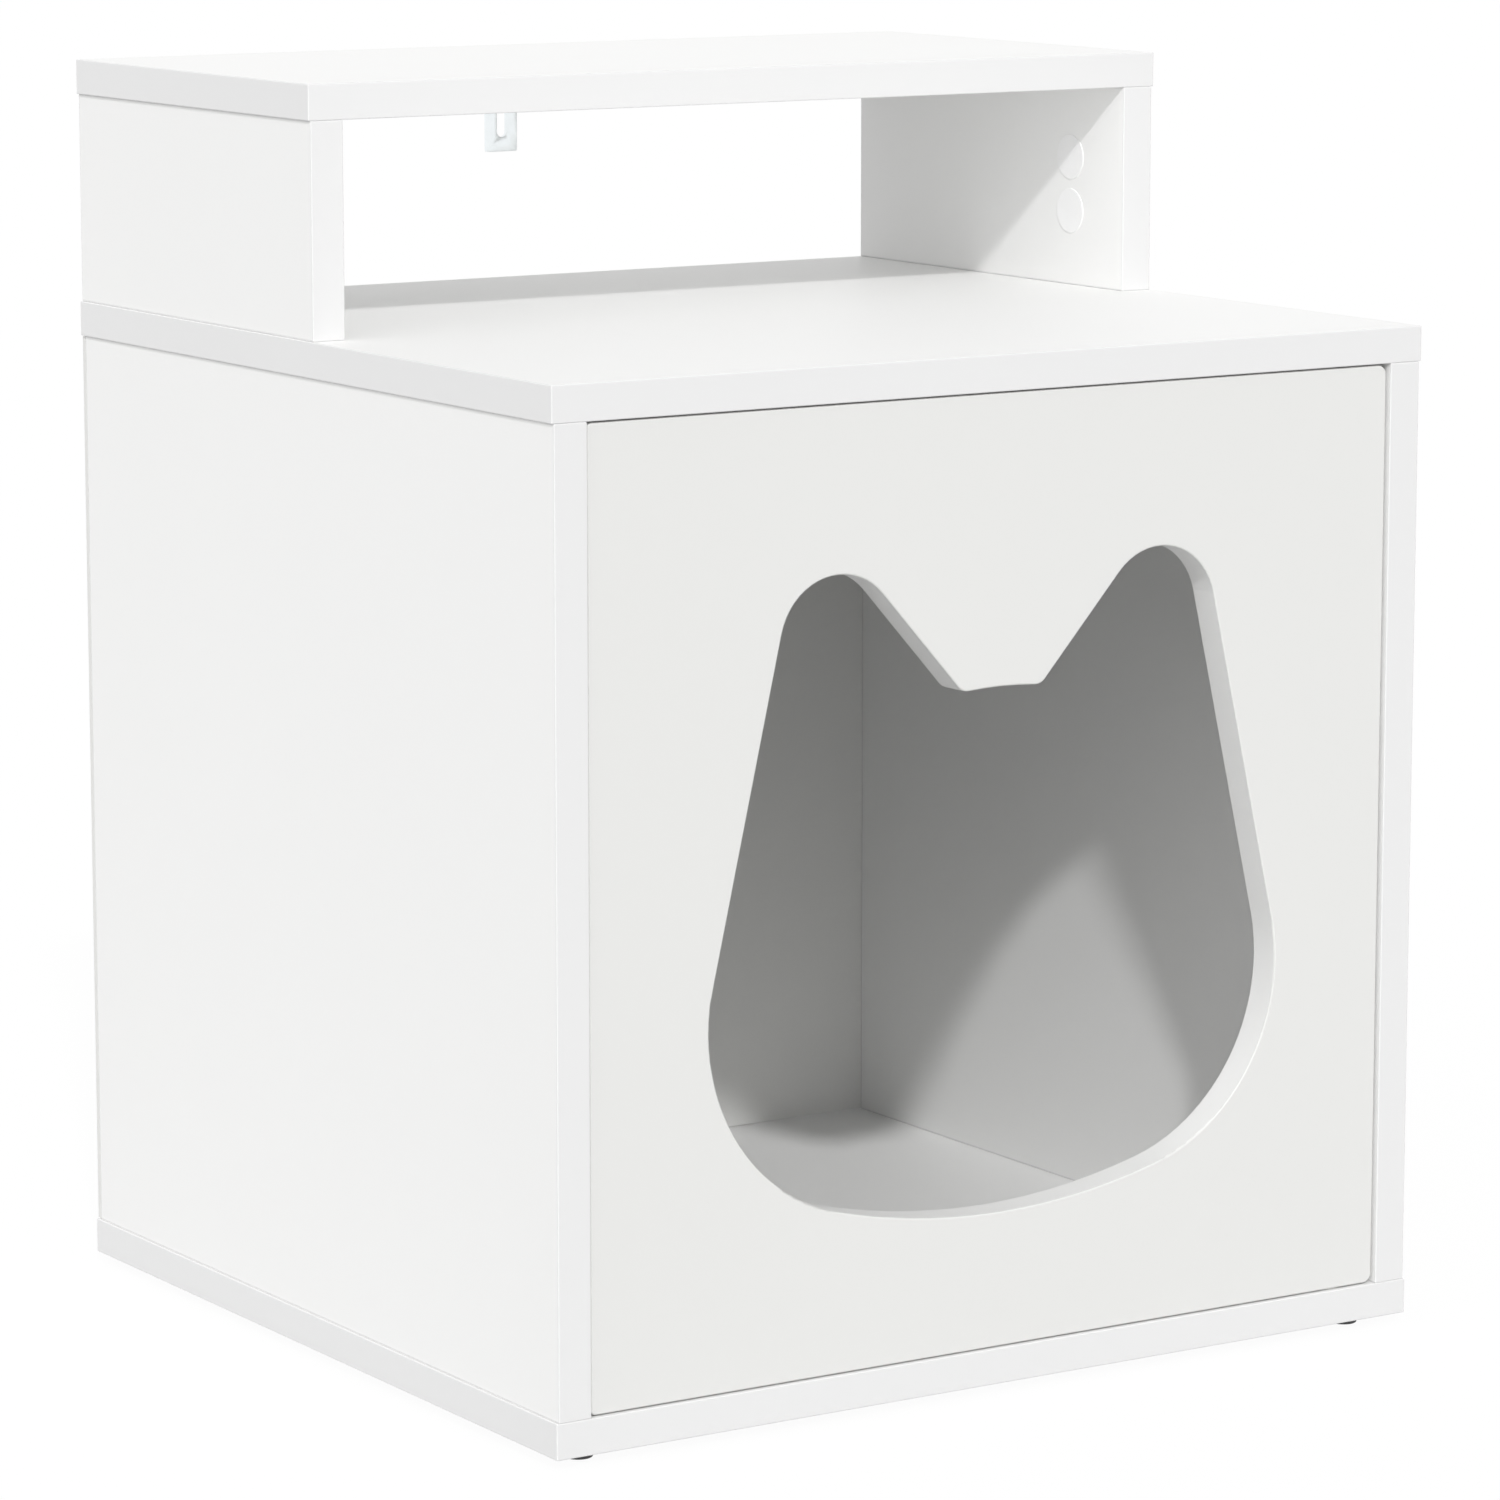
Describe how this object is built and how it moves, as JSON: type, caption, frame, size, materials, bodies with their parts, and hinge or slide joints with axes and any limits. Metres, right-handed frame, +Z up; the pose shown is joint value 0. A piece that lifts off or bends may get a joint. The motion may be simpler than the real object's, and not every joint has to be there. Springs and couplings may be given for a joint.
{
  "type": "cat house",
  "caption": "White flat-pack cat house cabinet with a cat-head entrance in its hinged inset door and an open raised shelf on its top.",
  "frame": {"origin": "on the floor under the middle of the boards' footprint", "axes": "+Z up, +Y to the back, +X to the right as seen from the front"},
  "size_m": [0.425, 0.4, 0.536],
  "materials": {
    "white_board": "satin",
    "white_lacquer": "satin",
    "white_hardboard": "matte",
    "beech": "matte",
    "zinc_steel": "satin",
    "zinc_plate": "satin",
    "zinc_casting": "satin",
    "cover_film": "satin",
    "foot_plastic": "matte",
    "bushing_plastic": "satin",
    "catch_plastic": "satin",
    "ferrite": "matte"
  },
  "bodies": {
    "cabinet": {"bottom_board": "white_board", "top_board": "white_board", "upper_shelf": "white_board", "left_side_panel": "white_board", "right_side_panel": "white_board", "left_upright": "white_board", "right_upright": "white_board", "back_panel": "white_hardboard", "cabinet_cams": "zinc_casting", "cabinet_cam_bolts": "zinc_steel", "cabinet_cam_covers": "cover_film", "cabinet_dowels": "beech", "base_dowels": "beech", "base_screws": "zinc_steel", "upright_cams": "zinc_casting", "upright_cam_bolts": "zinc_steel", "upright_cam_covers": "cover_film", "upright_dowels": "beech", "back_panel_screws": "zinc_steel", "feet": "foot_plastic", "foot_nails": "zinc_steel", "pivot_bushings": "bushing_plastic", "wall_bracket": "zinc_plate", "bracket_screws": "zinc_steel", "catch_case": "catch_plastic", "catch_magnet": "ferrite", "catch_pole_plates": "zinc_plate", "catch_screws": "zinc_steel"},
    "door": {"door_panel": "white_lacquer", "pivot_pins": "zinc_steel", "strike_plate": "zinc_plate", "strike_screw": "zinc_steel"}
  },
  "joints": [
    {"name": "door_swing", "type": "hinge", "parent": "cabinet", "child": "door", "pos_m": [0.175, -0.1913, 0.218], "axis": [0, 0, 1], "range_deg": [0, 135]}
  ]
}
